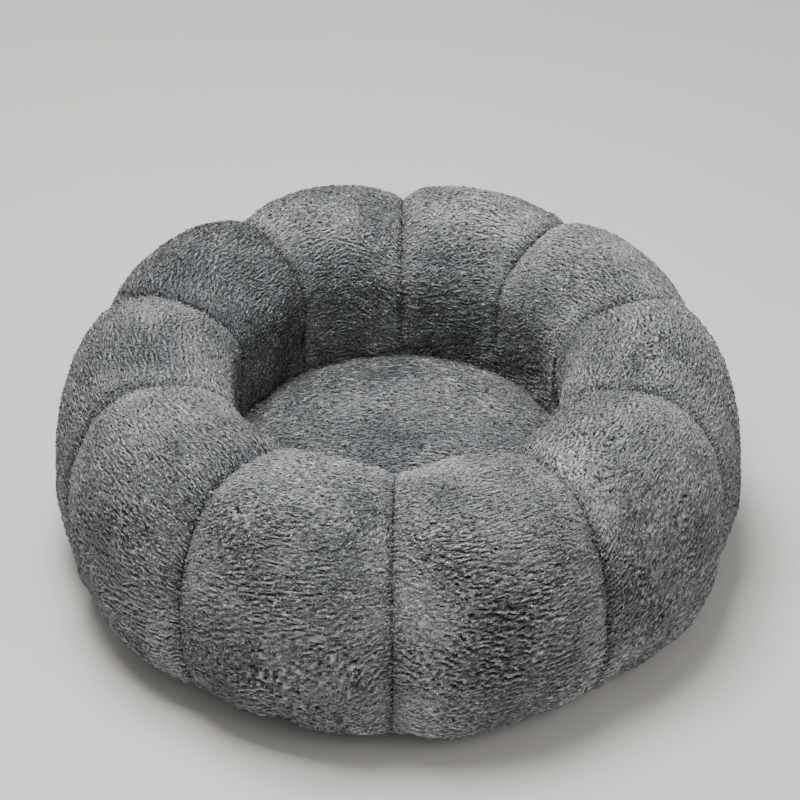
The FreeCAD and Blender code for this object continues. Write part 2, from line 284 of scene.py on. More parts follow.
def unit(vectors):
    return vectors / (np.linalg.norm(vectors, axis=-1, keepdims=True) + 1e-12)


class Nap:
    """How the pile lies on a skin: its waves and partings, its clumps and its brushing, and its
    tone, which holds painted shade.
    """

    def __init__(self, skin, brushed, seed, painted_shade=0):
        self.skin, self.seed = skin, seed
        self.out, self.row_step, self.col_step = faced(skin)
        self.along = unit(np.gradient(skin, axis=0))
        self.across = unit(np.gradient(skin, axis=1))
        swirl = soft_noise(skin, 0.10, seed + 1) + 0.5 * soft_noise(skin, 0.03, seed + 2)
        self.lie = brushed + 0.75 * swirl
        grain = np.random.default_rng(seed + 3).normal(0, 0.55, skin.shape[:2])
        beads = grain + 0.25 * soft_noise(skin, 0.0030, seed + 4)
        wavering = 0.9 * soft_noise(skin, 0.007, seed + 7)
        steps = (self.row_step, self.col_step, 0.0012, 5)
        drawn = combed(beads, self.lie + wavering, *steps)
        blurred = running_mean(running_mean(drawn, 0, 3, 2), 1, 3, 2)
        self.wave = evened(drawn - blurred)
        self.ruffled = smooth_step(-0.45, 0.55, soft_noise(skin, 0.075, seed + 6))
        lowest = 1.7 - 0.65 * self.ruffled
        self.parting = smooth_step(lowest, lowest + 0.8, self.wave)
        self.clump = evened(soft_noise(skin, 0.0070, seed + 5))
        brushing = soft_noise(skin, 0.09, seed + 8) + 0.5 * soft_noise(skin, 0.03, seed + 9)
        self.brushing = brushing - 0.25 * self.ruffled
        self.depth = (
            PARTING_DEPTH * self.parting
            + WAVE_DEPTH * self.wave * (0.5 + 0.5 * self.ruffled)
            - CLUMP_DEPTH * self.clump
        )
        # The tone holds painted shade: darker in the troughs of the waves and in the partings, a
        # touch lighter on the raised clumps, and darker by the painted shade passed in; the
        # brushing is the pile's own tone.
        self.tone = (
            (0.005 * self.clump + 0.115 * self.brushing)
            - (0.100 + 0.070 * self.ruffled) * self.wave
            - 0.13 * self.parting
            - painted_shade
        )

    def bed(self):
        """The pile's bed: the skin, sunk in the partings, with the painted shade of the fur's
        roots.
        """
        rise = -self.depth - 0.0005
        return self.skin + self.out * rise[..., None], np.clip(0.40 + self.tone, 0, 1)

    def tufts(self, count):
        """The tufts' points, four to a tuft, and their shades."""
        rng = np.random.default_rng(self.seed)
        rows, cols = self.skin.shape[:2]
        wanted = self.row_step * self.col_step * (1 - 0.6 * self.parting)
        filled = np.cumsum(wanted.ravel())
        share = (np.arange(count) + rng.random(count)) / count
        spot = np.searchsorted(filled, share * filled[-1]).clip(0, rows * cols - 1)
        row = spot // cols + rng.uniform(-0.5, 0.5, count)
        col = spot % cols + rng.uniform(-0.5, 0.5, count)

        def here(field, down=0, over=0):
            if field.ndim == 2:
                return picked(field, row + down, col + over)
            parts = [picked(field[..., k], row + down, col + over) for k in range(3)]
            return np.stack(parts, -1)

        out, along, across = unit(here(self.out)), here(self.along), here(self.across)
        flip = np.where(rng.random(count) < 0.5, math.pi, 0)
        lie = here(self.lie) + flip + rng.normal(0, 0.22, count)
        down, over = np.cos(lie), np.sin(lie)
        way = unit(down[:, None] * along + over[:, None] * across)
        side = np.cross(out, way)
        length = TUFT_LENGTH * rng.uniform(0.65, 1.3, count)
        ahead = (
            down * length * 0.5 / here(self.row_step),
            over * length * 0.5 / here(self.col_step),
        )
        width = TUFT_WIDTH * rng.uniform(0.7, 1.3, count)
        lift = TUFT_LIFT * rng.uniform(0.2, 1.9, count)
        root = here(self.skin) - out * (here(self.depth) + 0.0014)[:, None]
        reach = length[:, None] * way
        rise = (length * lift)[:, None] * out
        curl = (length * rng.normal(0, 0.13, count))[:, None] * side
        middle = root + 0.5 * reach + 0.68 * rise + curl
        spread = 0.5 * width[:, None] * side
        tip = root + reach * 0.95 + 0.9 * rise - curl
        points = np.stack([root, middle - spread, middle + spread, tip], 1)
        tone = 0.455 + rng.normal(0, 0.085, count) + here(self.tone, *ahead)
        # Painted shade at each tuft's root and painted light at its tip.
        root_shade_tip_light = np.array([-0.22, -0.02, 0.02, 0.20])
        shade = np.clip(tone[:, None] + root_shade_tip_light[None], 0, 1)
        return points.reshape(-1, 3), shade.reshape(-1)


def tuft_faces(count, first):
    """Each tuft's closed shell: four points, four faces."""
    start = first + 4 * np.arange(count)[:, None, None]
    shell = np.array([[0, 2, 1], [1, 2, 3], [0, 3, 2], [0, 1, 3]])
    return (start + shell[None]).reshape(-1, 3)


# --- meshes from grids

COARSE, THINNED = 8, 3


def border(rows, cols, first=0):
    """The vertices round a grid's edge, in order."""
    here = first + np.arange(rows * cols).reshape(rows, cols)
    sides = [here[:-1, 0], here[-1, :-1], here[:0:-1, -1], here[0, :0:-1]]
    return np.concatenate(sides).tolist()


def quads(rows, cols, first=0, turned=False):
    """The faces of a grid of vertices."""
    here = first + np.arange(rows * cols).reshape(rows, cols)
    ring = [here[:-1, :-1], here[:-1, 1:], here[1:, 1:], here[1:, :-1]]
    if turned:
        ring.reverse()
    return np.stack(ring, -1).reshape(-1, 4)


def stitches(rows, cols, back_rows, back_cols):
    """The faces that close a fine grid's edge onto its coarser backing's edge."""
    fine, coarse = border(rows, cols), border(back_rows, back_cols, rows * cols)
    fans, count = [], len(fine)
    for k, here in enumerate(coarse):
        after = coarse[(k + 1) % len(coarse)]
        start = k * COARSE
        middle = start + COARSE // 2
        for j in range(start, middle):
            fans.append((here, fine[j % count], fine[(j + 1) % count]))
        fans.append((here, fine[middle % count], after))
        for j in range(middle, start + COARSE):
            fans.append((after, fine[j % count], fine[(j + 1) % count]))
    return fans


def plush_piece(name, nap, keep, brushed_in):
    """A closed piece of plush: its bed of pile, its backing, and the tufts that stand on it."""
    bed, bed_light = nap.bed()
    backing = nap.skin - nap.out * FUR
    bed = keep(bed[:, ::THINNED])
    bed_light = bed_light[:, ::THINNED]
    backing = keep(backing[::COARSE, :: COARSE * THINNED])
    rows, cols = bed.shape[:2]
    back_rows, back_cols = backing.shape[:2]
    shell = rows * cols + back_rows * back_cols
    closed = quads(rows, cols).tolist()
    closed += quads(back_rows, back_cols, rows * cols, turned=True).tolist()
    closed += stitches(rows, cols, back_rows, back_cols)
    verts = np.concatenate([bed.reshape(-1, 3), backing.reshape(-1, 3)])
    piece = built(name, verts, closed)
    point_outwards(piece)
    closed = [tuple(face.vertices) for face in piece.data.polygons]
    bpy.data.meshes.remove(piece.data)

    points, tones = nap.tufts(brushed_in)
    fur = tuft_faces(brushed_in, shell).tolist()
    piece = built(name, np.concatenate([verts, keep(points, TUFT_STRAY)]), closed + fur)
    mesh = piece.data
    light = np.concatenate([bed_light.ravel(), np.full(back_rows * back_cols, 0.3), tones])
    pile = mesh.attributes.new("pile", "FLOAT", "POINT")
    pile.data.foreach_set("value", light.astype(np.float32))
    all_smooth(piece)
    lay_out(mesh, (rows, cols), (back_rows, back_cols), brushed_in)
    mesh.update()
    return piece


def spread_on_map(rows, cols, low, high):
    r, c = np.meshgrid(np.linspace(0, 1, rows), np.linspace(0, 1, cols), indexing="ij")
    spots = np.stack([0.01 + 0.98 * c, low + (high - low) * r], -1)
    return spots.reshape(-1, 2)


def lay_out(mesh, bed, backing, count):
    """The piece's own map: a cell for each tuft, and strips for the bed and the backing."""
    side = math.ceil(math.sqrt(count / 0.78))
    cell = 1 / side
    number = np.arange(count)
    corner = np.stack([number % side, number // side], -1) * cell
    kite = np.array([[0.5, 0.06], [0.08, 0.45], [0.92, 0.45], [0.5, 0.94]])
    tufts = (corner[:, None] + kite[None] * cell).reshape(-1, 2)
    strips = spread_on_map(*bed, 0.83, 0.95), spread_on_map(*backing, 0.96, 0.99)
    spots = np.concatenate([*strips, tufts])
    corners = np.empty(len(mesh.loops), int)
    mesh.loops.foreach_get("vertex_index", corners)
    layer = mesh.uv_layers.new(name="OFBake")
    layer.data.foreach_set("uv", spots[corners].reshape(-1))


# --- covers blown up as cloth

CLOTH_STEP, CLOTH_FRAMES = 8, 20
SLACK_START, MOST_SWELL = 0.007, 0.009
PATTERN_SHARE = 0.85
FILLING_PUSH = 4.0
EASED_CLOTH = -0.035


def cloth_of(skin, number):
    """A sheet of cover cloth over a skin, drawn in a little and sewn down along its edges."""
    coarse = skin[::CLOTH_STEP, ::CLOTH_STEP]
    out = faced(coarse)[0]
    rows, cols = coarse.shape[:2]
    inside = np.zeros((rows, cols), bool)
    inside[1:-1, 1:-1] = True
    start = coarse - out * (SLACK_START * inside)[..., None]
    cover = built(f"cover_cloth_{number}", start, quads(rows, cols).tolist())
    sewn = cover.vertex_groups.new(name="sewn")
    sewn.add(np.flatnonzero(~inside.ravel()).tolist(), 1.0, "REPLACE")
    cloth = cover.modifiers.new("Cloth", "CLOTH")
    how = cloth.settings
    how.quality = 5
    how.mass = 0.35
    how.tension_stiffness = how.compression_stiffness = 12
    how.shear_stiffness = 4
    how.bending_stiffness = 0.4
    how.vertex_group_mass = "sewn"
    how.shrink_min = EASED_CLOTH
    how.use_pressure = True
    how.uniform_pressure_force = FILLING_PUSH
    how.effector_weights.gravity = 0
    cloth.point_cache.frame_start = 1
    cloth.point_cache.frame_end = CLOTH_FRAMES
    return cover, coarse


def spread_out(moves, rows, cols):
    """A coarse grid's moves drawn smoothly over the fine grid."""
    row, col = np.meshgrid(np.arange(rows), np.arange(cols), indexing="ij")
    fine = [picked(moves[..., k], row / CLOTH_STEP, col / CLOTH_STEP) for k in range(3)]
    fine = np.stack(fine, -1)
    half = CLOTH_STEP // 2
    for axis in (0, 0, 1, 1):
        fine = running_mean(fine, axis, half + 1, half - 1)
    row_edge = np.minimum(row, rows - 1 - row) / CLOTH_STEP
    col_edge = np.minimum(col, cols - 1 - col) / CLOTH_STEP
    return fine * smooth_step(0, 1, np.minimum(row_edge, col_edge))[..., None]


def simulated(skins):
    """How far each cover moves from its skin when its filling blows it up."""
    sheets = [cloth_of(skin, number) for number, skin in enumerate(skins)]
    for moment in range(1, CLOTH_FRAMES + 1):
        bpy.context.scene.frame_set(moment)
    moves = []
    for cover, coarse in sheets:
        select_only(cover)
        bpy.ops.object.modifier_apply(modifier="Cloth")
        moves.append(mesh_places(cover.data).reshape(coarse.shape) - coarse)
        bpy.data.meshes.remove(cover.data)
    bpy.context.scene.frame_set(1)
    return moves


def blown_up(skins):
    """The skins swollen as cloth, with most of their common swell kept back by the pattern."""
    moves = simulated(skins)
    outs = [faced(skin[::CLOTH_STEP, ::CLOTH_STEP])[0] for skin in skins]
    swells = [(move * out).sum(-1) for move, out in zip(moves, outs)]
    common = [np.mean(swells[:-1], axis=0)] * PETALS
    common.append(np.full(swells[-1].shape, swells[-1].mean()))
    swollen = []
    for skin, move, out, kept_back in zip(skins, moves, outs, common):
        move = move - PATTERN_SHARE * out * kept_back[..., None]
        far = np.linalg.norm(move, axis=-1, keepdims=True)
        move = move * np.minimum(1, MOST_SWELL / np.maximum(far, 1e-9))
        swollen.append(skin + spread_out(move, *skin.shape[:2]))
    return swollen


# --- the petals

ROWS, COLS = 529, 193
EVEN = np.linspace(-1, 1, COLS)
ACROSS = 0.5 * EVEN + 0.5 * np.sin(EVEN * math.pi / 2)
RUN_LENGTHS = [0.24, 0.33, 0.22, 0.143]


def curve_points(poles, share):
    """Points on a cubic curve with these four poles; each pole may itself be an array."""
    a, b, c, d = poles
    s = share
    return a * (1 - s) ** 3 + 3 * b * s * (1 - s) ** 2 + 3 * c * s**2 * (1 - s) + d * s**3


def petal_section(valley, rows):
    """Radius and height down a petal's curve, from the base's edge over the crest to the seat.

    valley is the share of the valley's depth, an array over the columns.
    """
    wide = WIDE_R - VALLEY_SIDE * valley
    top = CREST_Z - VALLEY_TOP * valley
    inner = INNER_R + VALLEY_INSIDE * valley
    base, crest, edge = BASE_R, CREST_R, SEAT_R
    low, mid, shoulder, seam_z = FLOOR_GAP, WIDE_Z, SHOULDER_Z, SEAT_EDGE_Z - SEAM_COVER
    drop = (SHOULDER_Z - SEAT_EDGE_Z + SEAM_COVER) / 3
    runs = [
        (
            (base, base + (wide - base) * LOWER_FULLNESS, wide, wide),
            (low, low, mid - (mid - low) * LOWER_FULLNESS, mid),
        ),
        (
            (wide, wide, crest + (wide - crest) * UPPER_FULLNESS, crest),
            (mid, mid + (top - mid) * UPPER_FULLNESS, top, top),
        ),
        (
            (crest, crest - (crest - inner) * INNER_FULLNESS, inner, inner),
            (top, top, shoulder + (top - shoulder) * INNER_FULLNESS, shoulder),
        ),
        ((inner, inner, edge, edge), (shoulder, shoulder - drop, seam_z + drop, seam_z)),
    ]
    ends = np.cumsum([0] + RUN_LENGTHS) / sum(RUN_LENGTHS)
    share = np.linspace(0, 1, rows)
    radius = np.empty((rows, valley.size))
    height = np.empty((rows, valley.size))
    for k, (rs, zs) in enumerate(runs):
        inside = (share >= ends[k]) & (share <= ends[k + 1] + 1e-9)
        local = ((share[inside] - ends[k]) / (ends[k + 1] - ends[k]))[:, None]
        radius[inside] = curve_points(rs, local)
        height[inside] = curve_points(zs, local)
    return radius, height


def petal_middle(number):
    return (number - 0.5) * 2 * HALF_PETAL - math.pi / 2


def placed(radius, height, angle):
    return np.stack([radius * np.cos(angle), radius * np.sin(angle), height], -1)


def kept_in_its_seams(places, middle, stray):
    """Keeps a petal's points between its two seams, but for a stray, and above the floor."""
    radius = np.hypot(places[..., 0], places[..., 1])
    angle = np.arctan2(places[..., 1], places[..., 0]) - middle
    angle = (angle + math.pi) % (2 * math.pi) - math.pi
    most = HALF_PETAL - SEAM_GAP + stray / radius
    angle = np.clip(angle, -most, most) + middle
    return placed(radius, np.maximum(places[..., 2], FUR_LOWEST), angle)


def lumpy(skin, share, lump, height, seed):
    """The skin with its filling's lumps, each share of their height."""
    lumps = soft_noise(skin, lump, seed) * height + soft_noise(skin, 0.05, seed + 1) * 0.002
    return skin + faced(skin)[0] * (lumps * share)[..., None]


def petal_skin(number):
    """A petal's skin without its pile, as rows from the base's edge to the seat."""
    valley = 1 - (1 - np.abs(ACROSS) ** VALLEY_ROUND).clip(0) ** (1 / VALLEY_ROUND)
    valley = valley - VALLEY_FUR * (valley - VALLEY_FUR_FROM).clip(0) ** 2
    radius, height = petal_section(valley, ROWS)
    angle = (ACROSS * (HALF_PETAL - SEAM_GAP))[None, :] + 0 * radius
    edge = 1 - np.abs(angle) / HALF_PETAL
    skin = placed(radius, height, angle + petal_middle(number))
    return lumpy(skin, smooth_step(0, 0.25, edge), 0.11, 0.0045, 40)


# each gore a little darker or lighter: partly painted shade, as each gore lies in more or less
# light, and partly cut from another part of the cloth and brushed another way
GORE_SHADE_AND_BRUSHING = (-0.04, 0.01, 0, 0, -0.035, 0.045, 0.15, 0.04, 0, 0)


def make_petal(number, skin, material):
    across = np.abs(ACROSS)
    # Painted shade and light: darker in the seams' valleys with a painted highlight on the band
    # beside them, and darker low on the sides than on the crest, as the light from above falls.
    painted_shade = 0.085 * smooth_step(0.90, 1.0, across) - 0.05 * smooth_step(0.5, 0.8, across)
    painted_shade = painted_shade[None, :] + 0.035 * (1 - smooth_step(0.20, 0.37, skin[..., 2])) - 0.02
    painted_shade = painted_shade + GORE_SHADE_AND_BRUSHING[number - 1]
    swing = math.pi / 2 + 0.5 * math.sin(number * 2.4)
    nap = Nap(skin, swing, 100 * number, painted_shade)

    def keep(places, stray=0):
        return kept_in_its_seams(places, petal_middle(number), stray)

    piece = plush_piece(f"petal_{number:02d}", nap, keep, TUFTS)
    finished(piece, material, "chair", "plush", f"petal_cover_{number:02d}", fill=0.8)


# --- the seat

SEAT_SIDE = 289
SEAT_TUFTS = 20000


def seat_height(radius):
    """The dome's height at a radius, the same curve as the frame's."""
    rim = SEAT_R - 0.0003
    share = np.linspace(0, 1, 400)
    r = curve_points((0, rim * 0.55, rim - 0.025, rim), share)
    top = SEAT_EDGE_Z + SEAT_RISE
    z = curve_points((top, top, SEAT_EDGE_Z + 0.032, SEAT_EDGE_Z), share)
    return np.interp(radius, r, z)


def seat_skin():
    side = np.linspace(-1, 1, SEAT_SIDE)
    u, v = np.meshgrid(side, side, indexing="ij")
    rim = SEAT_R - 0.0008
    x = v * np.sqrt(1 - u * u / 2) * rim
    y = u * np.sqrt(1 - v * v / 2) * rim
    skin = np.stack([x, y, seat_height(np.hypot(x, y))], -1)
    if faced(skin)[0][SEAT_SIDE // 2, SEAT_SIDE // 2, 2] < 0:
        skin = skin[:, ::-1]
    inward = smooth_step(1.0, 0.8, np.hypot(skin[..., 0], skin[..., 1]) / rim)
    return lumpy(skin, inward, 0.13, 0.005, 60)


def make_seat(skin, material):
    # The seat's pile is given 0.05 of painted shade, as it lies deep in the well of petals.
    nap = Nap(skin, math.pi / 2 + 0.3, 7000, 0.05)
    piece = plush_piece("seat", nap, lambda places, stray=0: places, SEAT_TUFTS)
    finished(piece, material, "chair", "plush", "seat_cover", fill=0.7)


# --- the bags and fillings

BAG_VOXEL, FILLING_VOXEL = 0.015, 0.020
HEART_R, HEART_Z = 0.385, 0.20
BAG_CLEAR, FILLING_CLEAR = 0.0015, 0.005


def soft_copy(name, node, voxel, outward, lumps, seed):
    """A light closed form over a node's own shape: merged, remeshed, relaxed and lumpy."""
    piece = added(name, frame["nodes"][node].data.copy())
    select_only(piece)
    start_edit()
    pick_all()
    bpy.ops.mesh.remove_doubles(threshold=0.00002)
    end_edit()
    modified(piece, "REMESH", mode="VOXEL", voxel_size=voxel)
    modified(piece, "SMOOTH", factor=0.6, iterations=4)
    places = mesh_places(piece.data)
    facing = np.empty(len(places) * 3, np.float32)
    piece.data.vertex_normals.foreach_get("vector", facing)
    rise = outward + lumps * soft_noise(places, 0.03, seed)
    places = places + facing.reshape(-1, 3) * rise[:, None]
    piece.data.vertices.foreach_set("co", places.reshape(-1))
    all_smooth(piece)
    piece.data.update()
    return piece


def turned_copy(piece, name, angle):
    mesh = piece.data.copy()
    mesh.transform(Matrix.Rotation(angle, 4, "Z"))
    return added(name, mesh)


def held_in(piece, cover, clear):
    """Draws a bag's points in towards its heart, to where the cover leaves them room."""
    places = mesh_places(piece.data)
    for place in places:
        heart = Vector((*(place[:2] * HEART_R / math.hypot(*place[:2])), HEART_Z))
        ray = Vector(place) - heart
        met, point, _, _ = cover.ray_cast(heart, ray.normalized(), distance=ray.length + clear)
        if met:
            place[:] = heart + ray.normalized() * ((point - heart).length - clear)
    piece.data.vertices.foreach_set("co", places.reshape(-1))
    piece.data.update()


def make_bags(bag_cloth, filling):
    """The inner bags and their fillings: the first petal's, its copies, and the seat's."""
    first_bag = soft_copy("bag_01", "petal_filling_01", BAG_VOXEL, 0.0012, 0.0010, 300)
    first_fill = soft_copy("crumb_01", "petal_filling_01", FILLING_VOXEL, -0.003, 0.002, 301)
    pieces = []
    for number in range(1, PETALS + 1):
        bag, crumb = first_bag, first_fill
        if number > 1:
            angle = 2 * HALF_PETAL * (number - 1)
            bag = turned_copy(first_bag, f"bag_{number:02d}", angle)
            crumb = turned_copy(first_fill, f"crumb_{number:02d}", angle)
        pieces.append((bag, crumb))
    bpy.context.view_layer.update()
    for number, (bag, crumb) in enumerate(pieces, 1):
        cover = bpy.data.objects[f"petal_{number:02d}"]
        held_in(bag, cover, BAG_CLEAR)
        held_in(crumb, cover, FILLING_CLEAR)
        finished(bag, bag_cloth, "chair", "bag_cloth", f"petal_bag_{number:02d}", fill=0.8)
        finished(crumb, filling, "chair", "filling", f"petal_filling_{number:02d}", fill=0.8)
    bag = soft_copy("seat_inner_bag", "seat_filling", BAG_VOXEL, 0.0012, 0.0010, 302)
    finished(bag, bag_cloth, "chair", "bag_cloth", "seat_bag", fill=0.7)
    crumb = soft_copy("seat_crumb", "seat_filling", FILLING_VOXEL, -0.003, 0.002, 303)
    finished(crumb, filling, "chair", "filling", "seat_filling", fill=0.7)


# --- the base

ZIP_R, SLOT_WIDTH = 0.336, 0.020
SLOT_IN, SLOT_OUT = ZIP_R - SLOT_WIDTH / 2, ZIP_R + SLOT_WIDTH / 2
SLOT_FROM, SLOT_TO = -10, 190
SECTOR = 2
PANEL_R = BASE_R - 0.0003
DOT_SPACING, DOT_R, DOT_HEIGHT = 0.016, 0.0023, 0.0008
SLOT_MARGIN, EDGE_MARGIN = 0.009, 0.010
CLOTH_LOW, CLOTH_HIGH = 0.0007, 0.0019
PAD_LOW, PAD_HIGH, PAD_QUILTING = 0.0021, 0.0119, 0.0022
STITCH_SIZE, STITCH_PITCH, STITCH_MARGIN = (0.0007, 0.0030, 0.0006), 0.0042, 0.0035


def in_slot(radius, angle):
    """Whether a place, or a cell's middle, lies in the zip's slot; the angle is in degrees."""
    angle = (angle - SLOT_FROM) % 360 + SLOT_FROM
    return (radius > SLOT_IN) & (radius < SLOT_OUT) & (angle < SLOT_TO)


def slotted_panel(name, radii, low, high, quilting):
    """A round panel with the zip's slot cut through it, closed between its two faces."""
    sectors = 360 // SECTOR
    angles = np.radians(np.arange(sectors) * SECTOR)
    radii = np.array(radii)
    flat = np.stack(
        [np.outer(radii, np.cos(angles)), np.outer(radii, np.sin(angles))], -1
    ).reshape(-1, 2)
    lower = np.column_stack([flat, np.full(len(flat), low)])
    upper = np.column_stack([flat, np.full(len(flat), high)])
    upper[:, 2] -= quilting * (0.5 + 0.5 * soft_noise(upper, 0.05, 310))
    count = len(flat)
    there = np.zeros((len(radii) - 1, sectors), bool)
    for ring in range(len(radii) - 1):
        middle = (radii[ring] + radii[ring + 1]) / 2
        there[ring] = ~in_slot(middle, (np.arange(sectors) + 0.5) * SECTOR)

    def at(ring, sector, level):
        return level * count + ring * sectors + sector % sectors

    faces = [[at(0, k, 1) for k in range(sectors)], [at(0, -k, 0) for k in range(sectors)]]
    for ring, sector in zip(*np.nonzero(there)):
        corners = [(ring, sector), (ring + 1, sector), (ring + 1, sector + 1), (ring, sector + 1)]
        faces.append([at(*corner, 1) for corner in corners])
        faces.append([at(*corner, 0) for corner in reversed(corners)])
        beside = (
            there[ring, sector - 1],
            ring + 1 < len(there) and there[ring + 1, sector],
            there[ring, (sector + 1) % sectors],
            ring == 0 or there[ring - 1, sector],
        )
        edges = (
            ((ring, sector), (ring + 1, sector)),
            ((ring + 1, sector), (ring + 1, sector + 1)),
            ((ring + 1, sector + 1), (ring, sector + 1)),
            ((ring, sector + 1), (ring, sector)),
        )
        for (start, end), shared in zip(edges, beside):
            if not shared:
                faces.append([at(*start, 0), at(*end, 0), at(*end, 1), at(*start, 1)])
    piece = built(name, np.concatenate([lower, upper]), faces)
    point_outwards(piece)
    return piece


def make_pad(wadding):
    radii = [0.02, *np.linspace(0.05, 0.31, 9), SLOT_IN, SLOT_OUT, 0.36, 0.385, PANEL_R]
    pad = slotted_panel("base_wadding", radii, PAD_LOW, PAD_HIGH, PAD_QUILTING)
    rounded(pad, 0.001, 1.0)
    finished(pad, wadding, "chair", "wadding", "base_pad", fill=0.3)


def make_dot():
    """One rubbery dot at the origin: a low dome, its flat side up against the cloth."""
    top = (0, 0, DOT_HEIGHT)
    dot = primitive("circle", vertices=6, radius=DOT_R, fill_type="NGON", location=top)
    fixed("location")
    start_edit()
    pick_all()
    for drop, narrower in ((0.55, 0.86), (0.25, 0.62)):
        extruded((0, 0, -drop * DOT_HEIGHT), (narrower, narrower, 1))
    bpy.ops.mesh.poke()
    end_edit()
    return dot


def repeated(unit_piece, name, turns_and_places):
    """One mesh of many copies of a modelled unit, each turned about Z and then moved."""
    mesh = unit_piece.data
    places = mesh_places(mesh)
    faces = [tuple(face.vertices) for face in mesh.polygons]
    verts, all_faces = [], []
    for turn, (x, y) in turns_and_places:
        c, sn = math.cos(turn), math.sin(turn)
        copy = places.copy()
        copy[:, 0] = places[:, 0] * c - places[:, 1] * sn + x
        copy[:, 1] = places[:, 0] * sn + places[:, 1] * c + y
        start = len(verts) * len(places)
        verts.append(copy)
        all_faces += [[start + corner for corner in face] for face in faces]
    bpy.data.meshes.remove(mesh)
    piece = built(name, np.concatenate(verts), all_faces)
    point_outwards(piece)
    return piece


def make_grip(canvas, rubber, thread):
    radii = [0.02, 0.1, 0.2, 0.3, SLOT_IN, SLOT_OUT, 0.38, PANEL_R]
    grip = slotted_panel("grip_canvas", radii, CLOTH_LOW, CLOTH_HIGH, 0)
    rounded(grip, 0.0003, 1.0)
    finished(grip, canvas, "chair", "grip_cloth", "grip_cloth")
    dot = make_dot()
    spots = []
    row_spacing = DOT_SPACING * 0.866
    rows = int(PANEL_R / row_spacing) + 1
    for row in range(-rows, rows + 1):
        for col in range(-rows, rows + 1):
            x = (col + 0.5 * (row % 2)) * DOT_SPACING
            y = row * row_spacing
            radius, angle = math.hypot(x, y), math.degrees(math.atan2(y, x))
            by_slot = SLOT_IN - SLOT_MARGIN < radius < SLOT_OUT + SLOT_MARGIN
            by_slot = by_slot and (angle + 14) % 360 < SLOT_TO - SLOT_FROM + 8
            if radius < PANEL_R - EDGE_MARGIN and not by_slot:
                spots.append((0, (x, y)))
    dots = repeated(dot, "grip_dots", spots)
    all_smooth(dots)
    finished(dots, rubber, "chair", "grip_cloth")
    stitches = make_stitches(thread)
    guard = make_guard(canvas)


def on_arc(radius, pitch, from_degrees, to_degrees, begun=0.5):
    """Turns and places along an arc, one every pitch; begun is how far along its pitch each is."""
    sweep = math.radians(to_degrees - from_degrees)
    count = max(2, round(radius * sweep / pitch))
    for k in range(count):
        turn = math.radians(from_degrees) + sweep * (k + begun) / count
        yield turn, (radius * math.cos(turn), radius * math.sin(turn))


def make_stitches(thread):
    """The two rows of stitches on the grip cloth, one each side of the slot."""
    stitch = primitive("cube", size=1, location=(0, 0, 0))
    start_edit()
    bpy.ops.transform.resize(value=STITCH_SIZE)
    bpy.ops.mesh.subdivide(number_cuts=1)
    end_edit()
    for vertex in stitch.data.vertices:
        end = abs(vertex.co.y) / (STITCH_SIZE[1] / 2)
        vertex.co.z += 0.0006 + 0.0004 * end * end
        vertex.co.x *= 1 - 0.35 * end
    spots = []
    for radius in (SLOT_IN - STITCH_MARGIN, SLOT_OUT + STITCH_MARGIN):
        spots += on_arc(radius, STITCH_PITCH, SLOT_FROM - 1, SLOT_TO + 1)
    stitches = repeated(stitch, "grip_stitches", spots)
    finished(stitches, thread, "chair", "grip_cloth")
    return stitches


# --- the zip

TAPE_FROM, TAPE_TO = SLOT_FROM + 0.15, SLOT_TO - 0.15
CHAIN_FROM, CHAIN_TO = -5.38, 185.38
TOOTH_PITCH = 0.0029
TAPE_Z, TAPE_THICK, TAPE_STEPS = 0.007, 0.0007, 170
UPRIGHT = (math.pi / 2, 0, 0)
TAPE_SEWN, TAPE_BEAD = SLOT_WIDTH / 2 - 0.0003, 0.0042
TOOTH_HEAD = 0.0005
SLIDER_AT = math.radians(183.895)
STOP_SWEEP = 0.427
GUARD_TOP, GUARD_FOOT, GUARD_THICK = 0.0117, 0.0022, 0.0003
GUARD_END = 0.07


def boxed(name, size, place):
    """A block to start a piece from, selected all over in edit mode."""
    block = primitive("cube", size=1, location=(0, 0, 0))
    block.name = name
    start_edit()
    bpy.ops.mesh.select_mode(type="FACE")
    bpy.ops.transform.resize(value=size)
    bpy.ops.transform.translate(value=place)
    return block


def pick(piece, kind, wanted):
    """Selects the faces or edges that satisfy a test."""
    pick_none()
    work = bmesh.from_edit_mesh(piece.data)
    for part in getattr(work, kind):
        if wanted(part):
            part.select_set(True)
    bmesh.update_edit_mesh(piece.data)


def pick_faces(piece, wanted):
    """Selects the faces whose middle and normal satisfy a test."""
    pick(piece, "faces", lambda face: wanted(face.calc_center_median(), face.normal))


def joined(name, parts):
    end_edit()
    select_only(parts[0])
    for part in parts:
        part.select_set(True)
    bpy.ops.object.join()
    parts[0].name = name
    return parts[0]


def turned_into_place(piece, angle):
    piece.data.transform(Matrix.Rotation(angle, 4, "Z"))
    piece.data.update()


def swept(profile):
    """Spins a flat profile, which stands over the X axis, from one end of the tape to the other."""
    turned_into_place(profile, math.radians(TAPE_FROM))
    select_only(profile)
    start_edit()
    pick_all()
    # about an axis that points up, spin goes clockwise seen from above
    sweep = math.radians(TAPE_FROM - TAPE_TO)
    bpy.ops.mesh.spin(steps=TAPE_STEPS, angle=sweep, center=(0, 0, 0), axis=(0, 0, 1))
    pick_none()
    bpy.ops.mesh.select_mode(type="VERT")
    bpy.ops.mesh.select_non_manifold()
    bpy.ops.mesh.fill_holes(sides=0)
    pick_all()
    bpy.ops.mesh.normals_make_consistent(inside=False)
    end_edit()
    return profile


def strip_profile(place, width, thick):
    """A strip's flat profile, standing over the X axis."""
    strip = primitive("plane", size=1, location=place, rotation=UPRIGHT)
    fixed("rotation")
    strip.scale = (width, 1, thick)
    fixed("location", "scale")
    return strip


